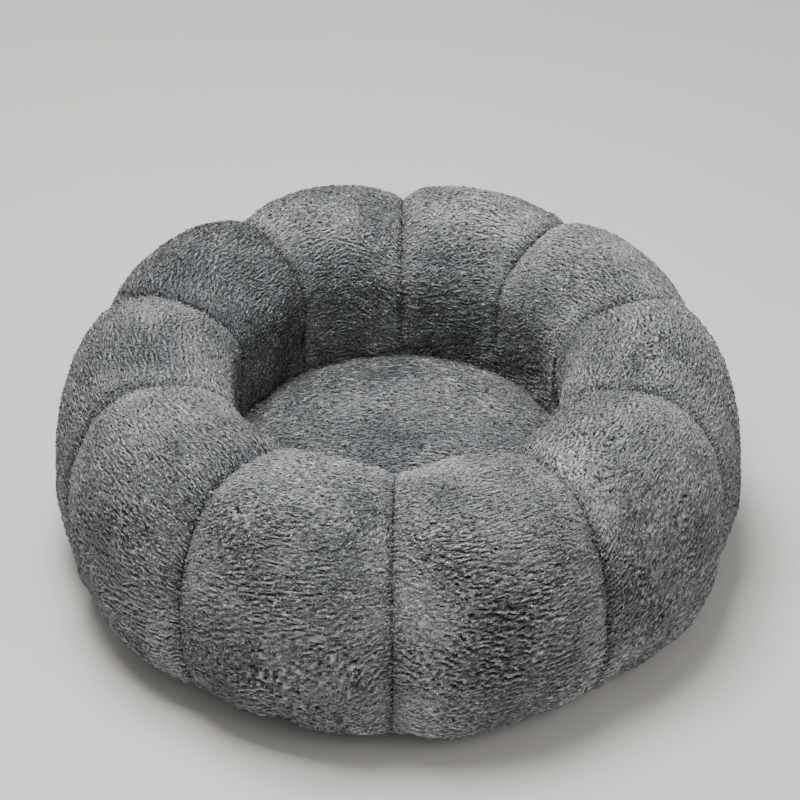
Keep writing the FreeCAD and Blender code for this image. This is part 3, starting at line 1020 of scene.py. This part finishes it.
def make_tape(name, node, way, material):
    """A woven tape from the slot's edge to its teeth; way is 1 for the outer one."""
    across = (TAPE_SEWN + TAPE_BEAD) / 2
    place = (ZIP_R + way * across, 0, TAPE_Z)
    band = strip_profile(place, TAPE_SEWN - TAPE_BEAD, TAPE_THICK)
    place = (ZIP_R + way * (TAPE_BEAD - 0.0002), 0, TAPE_Z)
    shape = {"vertices": 8, "radius": 0.0008, "fill_type": "NGON"}
    bead = primitive("circle", **shape, location=place, rotation=UPRIGHT)
    fixed()
    tape = joined(name, [swept(band), swept(bead)])
    smoothed(50)
    finished(tape, material, "chair", "zip_tape", node)


def make_guard(material):
    """The lining behind the zip: canvas folded down the slot's walls, with a flap at each end."""
    width = SLOT_WIDTH - 2 * GUARD_THICK
    guard = strip_profile((ZIP_R, 0, GUARD_TOP), width, GUARD_THICK)
    start_edit()
    bpy.ops.mesh.select_mode(type="EDGE")
    for way in (-1, 1):
        wall = ZIP_R + way * width / 2

        def at_wall(edge):
            return all(abs(vertex.co.x - wall) < 0.00001 for vertex in edge.verts)

        pick(guard, "edges", at_wall)
        extruded((way * GUARD_THICK * 0.9, 0, 0))

    def low_and_short(edge):
        start, end = (vertex.co for vertex in edge.verts)
        return max(start.z, end.z) < GUARD_TOP and abs(start.x - end.x) < 2 * GUARD_THICK

    pick(guard, "edges", low_and_short)
    extruded((0, 0, GUARD_FOOT - GUARD_TOP))
    end_edit()
    parts = [swept(guard)]
    for angle in (SLOT_FROM + GUARD_END, SLOT_TO - GUARD_END):
        size = (width, GUARD_THICK, GUARD_TOP - GUARD_FOOT)
        flap = boxed("flap", size, (ZIP_R, 0, (GUARD_TOP + GUARD_FOOT) / 2))
        end_edit()
        turned_into_place(flap, math.radians(angle))
        parts.append(flap)
    guard = joined("zip_guard", parts)
    smoothed(40)
    finished(guard, material, "chair", "grip_cloth")
    return guard


def make_teeth(name, node, way, material):
    """The moulded teeth of one tape: one tooth modelled, then copied along the arc."""
    root = ZIP_R + way * (TAPE_BEAD + 0.0004)
    tooth = boxed("tooth", (0.0012, 0.0019, 0.0030), (root - way * 0.0006, 0, TAPE_Z))
    pick_faces(tooth, lambda middle, normal: normal.x * way < -0.9)
    reach = TAPE_BEAD - 0.0008 - TOOTH_HEAD
    extruded((-way * reach * 0.45, 0, 0), (1, 0.62, 0.72))
    extruded((-way * reach * 0.25, 0, 0), (1, 1.25, 1.1))
    extruded((-way * reach * 0.30, 0, 0), (1, 0.72, 0.7))
    end_edit()
    tooth.data.transform(Matrix.Translation((-ZIP_R, 0, 0)))
    begun = 0.5 + 0.25 * way
    spots = on_arc(ZIP_R, TOOTH_PITCH, CHAIN_FROM, CHAIN_TO, begun)
    teeth = repeated(tooth, name, spots)
    select_only(teeth)
    smoothed(50)
    finished(teeth, material, "chair", "zip_teeth", node)


def make_stop(name, node, angle, material):
    """A clamped metal stop across both tapes, with its two pressed dents."""
    stop = boxed(name, (0.0080, 0.0050, 0.0034), (ZIP_R, 0, TAPE_Z))
    bpy.ops.mesh.subdivide(number_cuts=2)
    pick_faces(
        stop,
        lambda middle, normal: abs(normal.z) > 0.9
        and abs(middle.x - ZIP_R) > 0.002
        and abs(middle.y) < 0.001,
    )
    bpy.ops.mesh.inset(thickness=0.0003)
    bpy.ops.transform.resize(value=(1, 1, 0.8))
    end_edit()
    rounded(stop, 0.0003)
    turned_into_place(stop, math.radians(angle))
    finished(stop, material, "chair", "zip_metal", node)


SLIDER_LENGTH, SLIDER_WIDTH, PLATE_THICK = 0.017, 0.012, 0.0009
LOWER_PLATE_Z, UPPER_PLATE_Z = 0.00475, 0.00925
NARROWING = 0.30


def make_slider(metal):
    """The slider, modelled over the X axis: the zip is closed on its -Y side."""
    parts = []
    for height in (LOWER_PLATE_Z, UPPER_PLATE_Z):
        size = (SLIDER_WIDTH, SLIDER_LENGTH, PLATE_THICK)
        plate = boxed("plate", size, (ZIP_R, 0, height))
        bpy.ops.mesh.subdivide(number_cuts=7)
        end_edit()
        for vertex in plate.data.vertices:
            along = vertex.co.y / (SLIDER_LENGTH / 2)
            out = (vertex.co.x - ZIP_R) / (SLIDER_WIDTH / 2)
            narrow = NARROWING * float(smooth_step(0.1, -0.8, along))
            vertex.co.x = ZIP_R + (vertex.co.x - ZIP_R) * (1 - narrow - 0.10 * along**4)
            vertex.co.y *= 1 - 0.10 * out * out
            outer = -1 if height < TAPE_Z else 1
            if (vertex.co.z - height) * outer > 0:
                vertex.co.z -= outer * 0.00025 * max(out * out, along * along)
        parts.append(plate)
    for height in (LOWER_PLATE_Z + 0.0008, UPPER_PLATE_Z - 0.0008):
        for way in (-1, 1):
            place = (ZIP_R + way * 0.0048, 0.0022, height)
            flange = boxed("flange", (0.0008, 0.0105, 0.0010), place)
            bpy.ops.mesh.subdivide(number_cuts=2)
            pick_faces(flange, lambda middle, normal: normal.y < -0.9)
            extruded((-way * 0.0010, -0.0042, 0), (0.8, 1, 1))
            parts.append(flange)
            end_edit()
    post = boxed("post", (0.0006, 0.0030, 0.0042), (ZIP_R, 0.0060, TAPE_Z))
    pick_faces(post, lambda middle, normal: normal.y < -0.9)
    extruded((0, -0.0012, 0), (0.3, 1, 1))
    end_edit()
    parts.append(post)
    bail = boxed("bail", (0.0024, 0.0090, 0.0010), (ZIP_R, 0, 0.0018))
    bpy.ops.mesh.subdivide(number_cuts=2)
    end_edit()
    for vertex in bail.data.vertices:
        if abs(vertex.co.y) < 0.002:
            vertex.co.y *= 3.5 / 1.5
    start_edit()
    pick_faces(bail, lambda middle, normal: normal.z > 0.9 and abs(middle.y) > 0.003)
    extruded((0, 0, 0.0012), (1, 1, 1))
    extruded((0, 0, 0.0010), (1.15, 1, 1))
    end_edit()
    parts.append(bail)
    for part in parts:
        rounded(part, 0.00022)
    slider = joined("slider", parts)
    turned_into_place(slider, SLIDER_AT)
    finished(slider, metal, "slider", "zip_metal", "zip_slider")


PULL_EDGES_X = (-0.0032, -0.0017, 0.0017, 0.0032)
PULL_EDGES_Y = (0.0007, -0.0007, -0.0087, -0.0105, -0.0150, -0.0200, -0.0245, -0.0275, -0.0300)
PULL_Z, PULL_THICK = 0.0033, 0.0014


def make_pull(metal):
    """The pull tab: a bar, a window for the bail, a waisted tongue and a round eye."""
    columns, rows = len(PULL_EDGES_X) - 1, len(PULL_EDGES_Y) - 1
    grid = {"x_subdivisions": columns, "y_subdivisions": rows, "size": 1}
    pull = primitive("grid", **grid, location=(0, 0, 0))
    edges_y = sorted(PULL_EDGES_Y)
    for vertex in pull.data.vertices:
        column = round((vertex.co.x + 0.5) * columns)
        row = round((vertex.co.y + 0.5) * rows)
        vertex.co = (PULL_EDGES_X[column], edges_y[row], 0)
    start_edit()
    bpy.ops.mesh.select_mode(type="FACE")
    window = (PULL_EDGES_Y[1] + PULL_EDGES_Y[2]) / 2
    eye = (PULL_EDGES_Y[6] + PULL_EDGES_Y[7]) / 2
    pick_faces(
        pull,
        lambda middle, normal: abs(middle.x) < 0.001
        and min(abs(middle.y - window), abs(middle.y - eye)) < 0.0005,
    )
    bpy.ops.mesh.delete(type="FACE")
    end_edit()
    for vertex in pull.data.vertices:
        waist = 0.20 * math.exp(-(((vertex.co.y + 0.0145) / 0.005) ** 2))
        tip = 0.28 * (vertex.co.y < -0.029)
        vertex.co.x *= 1 - waist - tip
    modified(pull, "SOLIDIFY", thickness=PULL_THICK, offset=0)
    bevelled(pull, 0.0002)
    modified(pull, "SUBSURF", levels=1, render_levels=1)
    smoothed(50)
    pull.name = "pull_tab"
    pull.data.transform(Matrix.Translation((ZIP_R, 0, PULL_Z)))
    turned_into_place(pull, SLIDER_AT)
    finished(pull, metal, "pull", "zip_metal", "zip_pull")


# --- materials


def new_material(name):
    material = bpy.data.materials.new(name)
    material.use_nodes = True
    return material, material.node_tree


def node(tree, kind, **settings):
    """A new node; settings that name one of its inputs set that input, the rest its own."""
    new = tree.nodes.new("ShaderNode" + kind)
    for name, value in settings.items():
        plain = name.replace("_", " ")
        socket = next((s for s in new.inputs if s.name.lower() == plain), None)
        if hasattr(new, name):
            setattr(new, name, value)
        else:
            socket.default_value = value
    return new


def sums(tree, operation, *values, clamped=False):
    """A Math node's output; each value is a number or another node's output."""
    math_node = tree.nodes.new("ShaderNodeMath")
    math_node.operation = operation
    math_node.use_clamp = clamped
    for socket, value in zip(math_node.inputs, values):
        if isinstance(value, (int, float)):
            socket.default_value = value
        else:
            tree.links.new(value, socket)
    return math_node.outputs["Value"]


def shades(tree, value, stops):
    """A colour ramp through these (position, colour) stops."""
    ramp = tree.nodes.new("ShaderNodeValToRGB")
    elements = ramp.color_ramp.elements
    elements[0].position, elements[0].color = stops[0][0], (*stops[0][1], 1)
    elements[1].position, elements[1].color = stops[-1][0], (*stops[-1][1], 1)
    for position, colour in stops[1:-1]:
        elements.new(position).color = (*colour, 1)
    tree.links.new(value, ramp.inputs["Fac"])
    return ramp.outputs["Color"]


def bumped(tree, height, distance, strength):
    bump = node(tree, "Bump", distance=distance, strength=strength)
    tree.links.new(height, bump.inputs["Height"])
    tree.links.new(bump.outputs["Normal"], tree.nodes["Principled BSDF"].inputs["Normal"])


def painted(tree, colour, finish):
    """Gives a material's shader its colour, and sets the values that finish names."""
    shader = tree.nodes["Principled BSDF"]
    tree.links.new(colour, shader.inputs["Base Color"])
    for name, value in finish.items():
        shader.inputs[name].default_value = value
    return shader


def noise(tree, place, scale, detail=2, roughness=0.5):
    texture = node(tree, "TexNoise", scale=scale, detail=detail, roughness=roughness)
    tree.links.new(place, texture.inputs["Vector"])
    return texture.outputs["Fac"]


def on_object(tree):
    return tree.nodes.new("ShaderNodeTexCoord").outputs["Object"]


def new_group(name, inputs, outputs):
    """A node group with float inputs at their first values, a place input, and float outputs."""
    group = bpy.data.node_groups.new(name, "ShaderNodeTree")
    face = group.interface
    face.new_socket("Place", in_out="INPUT", socket_type="NodeSocketVector")
    for socket_name, value in inputs.items():
        socket = face.new_socket(socket_name, in_out="INPUT", socket_type="NodeSocketFloat")
        socket.default_value = value
    for socket_name in outputs:
        face.new_socket(socket_name, in_out="OUTPUT", socket_type="NodeSocketFloat")
    entry = group.nodes.new("NodeGroupInput").outputs
    leave = group.nodes.new("NodeGroupOutput").inputs
    return group, entry, leave


def make_weave_group():
    """Over-and-under threads on every side of a piece, with slubs: a height, and a shade that is
    the slubs' tone plus painted shade in the hollows between the threads.
    """
    inputs = {"Threads": 900.0, "Slubs": 0.3}
    group, entry, leave = new_group("woven_threads", inputs, ("Height", "Shade"))
    split = group.nodes.new("ShaderNodeSeparateXYZ")
    group.links.new(entry["Place"], split.inputs["Vector"])
    waves = []
    for axis in "XYZ":
        turned = sums(group, "MULTIPLY", split.outputs[axis], entry["Threads"])
        waves.append(sums(group, "SINE", sums(group, "MULTIPLY", turned, 2 * math.pi)))
    pairs = [sums(group, "MULTIPLY", waves[k], waves[k - 1]) for k in range(3)]
    lattice = sums(group, "ADD", sums(group, "ADD", pairs[0], pairs[1]), pairs[2])
    height = sums(group, "MULTIPLY_ADD", lattice, 0.35, 0.5, clamped=True)
    slubs = node(group, "TexNoise", scale=140, detail=3)
    group.links.new(entry["Place"], slubs.inputs["Vector"])
    uneven = sums(group, "SUBTRACT", slubs.outputs["Fac"], 0.5)
    # Painted shade: the shade follows the height, darker in the hollows between the threads, with
    # the slubs' own uneven tone.
    shade = sums(group, "MULTIPLY_ADD", uneven, entry["Slubs"], height)
    group.links.new(height, leave["Height"])
    group.links.new(shade, leave["Shade"])
    return group


def make_wear_group():
    """Handling marks for metal and plastic: fine scuffs and a cloudy film."""
    inputs = {"Scuffs": 0.5, "Film": 0.5}
    group, entry, leave = new_group("handling_wear", inputs, ("Scuffed", "Filmed"))
    stretched = node(group, "Mapping")
    stretched.inputs["Scale"].default_value = (1, 6, 1)
    group.links.new(entry["Place"], stretched.inputs["Vector"])
    fine = node(group, "TexNoise", scale=1400, detail=4, roughness=0.7)
    group.links.new(stretched.outputs["Vector"], fine.inputs["Vector"])
    film = node(group, "TexNoise", scale=190, detail=3)
    group.links.new(entry["Place"], film.inputs["Vector"])
    scratched = sums(group, "MULTIPLY_ADD", fine.outputs["Fac"], 4.0, -2.2, clamped=True)
    cloudy = sums(group, "MULTIPLY_ADD", film.outputs["Fac"], 2.4, -0.7, clamped=True)
    group.links.new(sums(group, "MULTIPLY", scratched, entry["Scuffs"]), leave["Scuffed"])
    group.links.new(sums(group, "MULTIPLY", cloudy, entry["Film"]), leave["Filmed"])
    return group


def with_group(tree, group, place, **values):
    used = tree.nodes.new("ShaderNodeGroup")
    used.node_tree = group
    tree.links.new(place, used.inputs["Place"])
    for name, value in values.items():
        used.inputs[name.title()].default_value = value
    return used.outputs


def make_woven(name, weave, threads, dark, pale, roughness, relief, slubs=0.4):
    """Plain woven cloth or webbing."""
    material, tree = new_material(name)
    place = on_object(tree)
    out = with_group(tree, weave, place, threads=threads, slubs=slubs)
    soiled = noise(tree, place, 9, 3)
    value = sums(tree, "MULTIPLY_ADD", soiled, 0.3, out["Shade"])
    colour = shades(tree, sums(tree, "MULTIPLY", value, 0.8), ((0.1, dark), (0.9, pale)))
    finish = {"Roughness": roughness, "Specular IOR Level": 0.3, "Sheen Weight": 0.15}
    painted(tree, colour, finish)
    bumped(tree, out["Height"], relief, 0.8)
    return material


def make_crumb_material():
    """Loose white beads and foam crumb."""
    material, tree = new_material("filling")
    place = on_object(tree)
    beads = node(tree, "TexVoronoi", scale=260)
    tree.links.new(place, beads.inputs["Vector"])
    far = beads.outputs["Distance"]
    # Painted shade in the gaps between the beads: darker far from each bead's middle.
    painted_gap_shade = sums(tree, "MULTIPLY", far, -0.6)
    grey = sums(tree, "MULTIPLY_ADD", noise(tree, place, 60, 3), 0.5, painted_gap_shade)
    whites = (0.1, (0.52, 0.51, 0.48)), (0.5, (0.80, 0.79, 0.76)), (0.9, (0.90, 0.90, 0.88))
    painted(tree, shades(tree, sums(tree, "ADD", grey, 0.4), whites), {"Roughness": 0.8})
    bumped(tree, sums(tree, "MULTIPLY", far, -1), 0.003, 1.0)
    return material


def make_wadding_material():
    """White polyester wadding, fluffy and a little clouded."""
    material, tree = new_material("wadding")
    place = on_object(tree)
    fibres = noise(tree, place, 420, 5, 0.75)
    cloud = sums(tree, "MULTIPLY_ADD", noise(tree, place, 22, 2), 0.6, fibres)
    whites = (0.3, (0.60, 0.60, 0.58)), (0.7, (0.86, 0.86, 0.84))
    colour = shades(tree, sums(tree, "MULTIPLY", cloud, 0.65), whites)
    painted(tree, colour, {"Roughness": 0.95})
    bumped(tree, fibres, 0.001, 0.8)
    return material


def make_worn(name, wear, base, worn, roughness, scuffed_to, metallic, scuffs, film):
    """Moulded nylon, rubber or plated metal with handling marks."""
    material, tree = new_material(name)
    out = with_group(tree, wear, on_object(tree), scuffs=scuffs, film=film)
    value = sums(tree, "MULTIPLY_ADD", out["Filmed"], 0.35, out["Scuffed"], clamped=True)
    colour = shades(tree, value, ((0.0, base), (1.0, worn)))
    shader = painted(tree, colour, {"Metallic": metallic})
    rough = sums(tree, "MULTIPLY_ADD", value, scuffed_to - roughness, roughness)
    tree.links.new(rough, shader.inputs["Roughness"])
    bumped(tree, out["Scuffed"], 0.00005, 0.5)
    return material


FIBRE_SHADES = (
    (0.05, (0.0100, 0.0115, 0.0130)),
    (0.28, (0.062, 0.068, 0.074)),
    (0.50, (0.210, 0.223, 0.237)),
    (0.72, (0.520, 0.540, 0.560)),
    (1.00, (0.840, 0.862, 0.885)),
)


PLUSH_FINISH = {
    "Roughness": 0.85,
    "Specular IOR Level": 0.25,
    "Sheen Weight": 0.25,
    "Sheen Roughness": 0.4,
    "Sheen Tint": (0.9, 0.92, 0.95, 1),
}


def make_plush():
    """Long soft pile: painted shade at its roots and in its partings, and painted light at its
    tips.
    """
    material, tree = new_material("plush")
    place = on_object(tree)
    pile = node(tree, "Attribute", attribute_name="pile").outputs["Fac"]
    strands = noise(tree, place, 430, 3, 0.65)
    strand_light = sums(tree, "MULTIPLY_ADD", strands, 0.8, -0.40)
    light = sums(tree, "ADD", strand_light, pile, clamped=True)
    painted(tree, shades(tree, light, FIBRE_SHADES), PLUSH_FINISH)
    bumped(tree, strands, 0.0014, 0.6)
    return material


FLOOR_R, FLOOR_OPENING = 9.0, 0.385


def make_floor():
    """The floor, open under the chair's base so that the zip can be looked at from below."""
    floor = primitive("circle", vertices=128, radius=FLOOR_OPENING, location=(0, 0, 0))
    floor.name = "floor"
    start_edit()
    pick_all()
    spread = FLOOR_R / FLOOR_OPENING
    bpy.ops.mesh.extrude_edges_move()
    bpy.ops.transform.resize(value=(spread, spread, 1), center_override=(0, 0, 0))
    end_edit()
    point_outwards(floor)
    material, tree = new_material("floor_paint")
    cloud = noise(tree, on_object(tree), 1.4, 2)
    paint = shades(tree, cloud, ((0.3, (0.77, 0.75, 0.72)), (0.7, (0.79, 0.77, 0.74))))
    painted(tree, paint, {"Roughness": 0.55})
    floor.data.materials.append(material)


# --- camera and light


def aim(thing, target):
    way = Vector(target) - thing.location
    thing.rotation_euler = way.to_track_quat("-Z", "Y").to_euler()


CAMERA_AT, CAMERA_AIM, LENS = (0.0499, -2.9637, 2.4436), (0.0028, 0, 0.2578), 109.2
SKY_COLOUR, SKY_STRENGTH = (1.0, 0.985, 0.965, 1), 0.31
# each lamp's name, place, width, watts and colour
LAMPS = (
    ("key", (-0.5, 0.2, 3.6), 1.6, 176, (1.0, 0.975, 0.95)),
    ("fill", (2.6, -1.8, 2.6), 2.5, 32, (1.0, 0.98, 0.96)),
)


def make_camera():
    data = bpy.data.cameras.new("camera")
    data.lens = LENS
    camera = added("camera", data)
    camera.location = CAMERA_AT
    aim(camera, CAMERA_AIM)
    bpy.context.scene.camera = camera


def make_light(name, place, size, watts, colour):
    data = bpy.data.lights.new(name, "AREA")
    data.shape = "SQUARE"
    data.size = size
    data.energy = watts
    data.color = colour
    light = added(name, data)
    light.location = place
    aim(light, (0, 0, 0.2))


def make_lighting():
    world = bpy.data.worlds.new("studio")
    world.use_nodes = True
    sky = world.node_tree.nodes["Background"]
    sky.inputs["Color"].default_value = SKY_COLOUR
    sky.inputs["Strength"].default_value = SKY_STRENGTH
    bpy.context.scene.world = world
    for lamp in LAMPS:
        make_light(*lamp)


# each woven cloth's threads, dark and pale colours, roughness and relief
WOVEN = {
    "bag_cloth": (850, (0.66, 0.65, 0.62), (0.80, 0.79, 0.75), 0.85, 0.0003),
    "grip_canvas": (620, (0.020, 0.021, 0.023), (0.085, 0.088, 0.094), 0.8, 0.0004),
    "zip_webbing": (1250, (0.026, 0.028, 0.031), (0.095, 0.10, 0.107), 0.75, 0.0003),
    "sewing_thread": (2600, (0.10, 0.104, 0.11), (0.24, 0.247, 0.256), 0.6, 0.0001),
}
# each worn finish's base and worn colours, roughness new and scuffed, metal, scuffs and film
WORN = {
    "grip_rubber": ((0.012, 0.012, 0.013), (0.055, 0.054, 0.052), 0.5, 0.75, 0, 0.5, 0.6),
    "zip_nylon": ((0.022, 0.023, 0.026), (0.085, 0.087, 0.092), 0.32, 0.55, 0, 0.5, 0.4),
    "plated_metal": ((0.30, 0.30, 0.315), (0.60, 0.59, 0.57), 0.22, 0.45, 1, 0.6, 0.5),
}

make_camera()
make_lighting()
make_floor()
plush = make_plush()
skins = blown_up([petal_skin(number) for number in range(1, PETALS + 1)] + [seat_skin()])
for petal_number in range(1, PETALS + 1):
    make_petal(petal_number, skins[petal_number - 1], plush)
make_seat(skins[-1], plush)

weave = make_weave_group()
wear = make_wear_group()
bag_cloth, canvas, webbing, thread = [
    make_woven(name, weave, *look) for name, look in WOVEN.items()
]
crumb = make_crumb_material()
wadding = make_wadding_material()
rubber, nylon, plated = [make_worn(name, wear, *look) for name, look in WORN.items()]
make_bags(bag_cloth, crumb)
make_pad(wadding)
make_grip(canvas, rubber, thread)
for side, way in (("inner", -1), ("outer", 1)):
    make_tape(f"zip_webbing_{side}", f"zip_tape_{side}", way, webbing)
    make_teeth(f"zip_chain_{side}", f"zip_teeth_{side}", way, nylon)
make_stop("zip_closed_stop", "zip_top_stop", CHAIN_TO + STOP_SWEEP, plated)
make_stop("zip_open_stop", "zip_bottom_stop", CHAIN_FROM - STOP_SWEEP, plated)
make_slider(plated)
make_pull(plated)
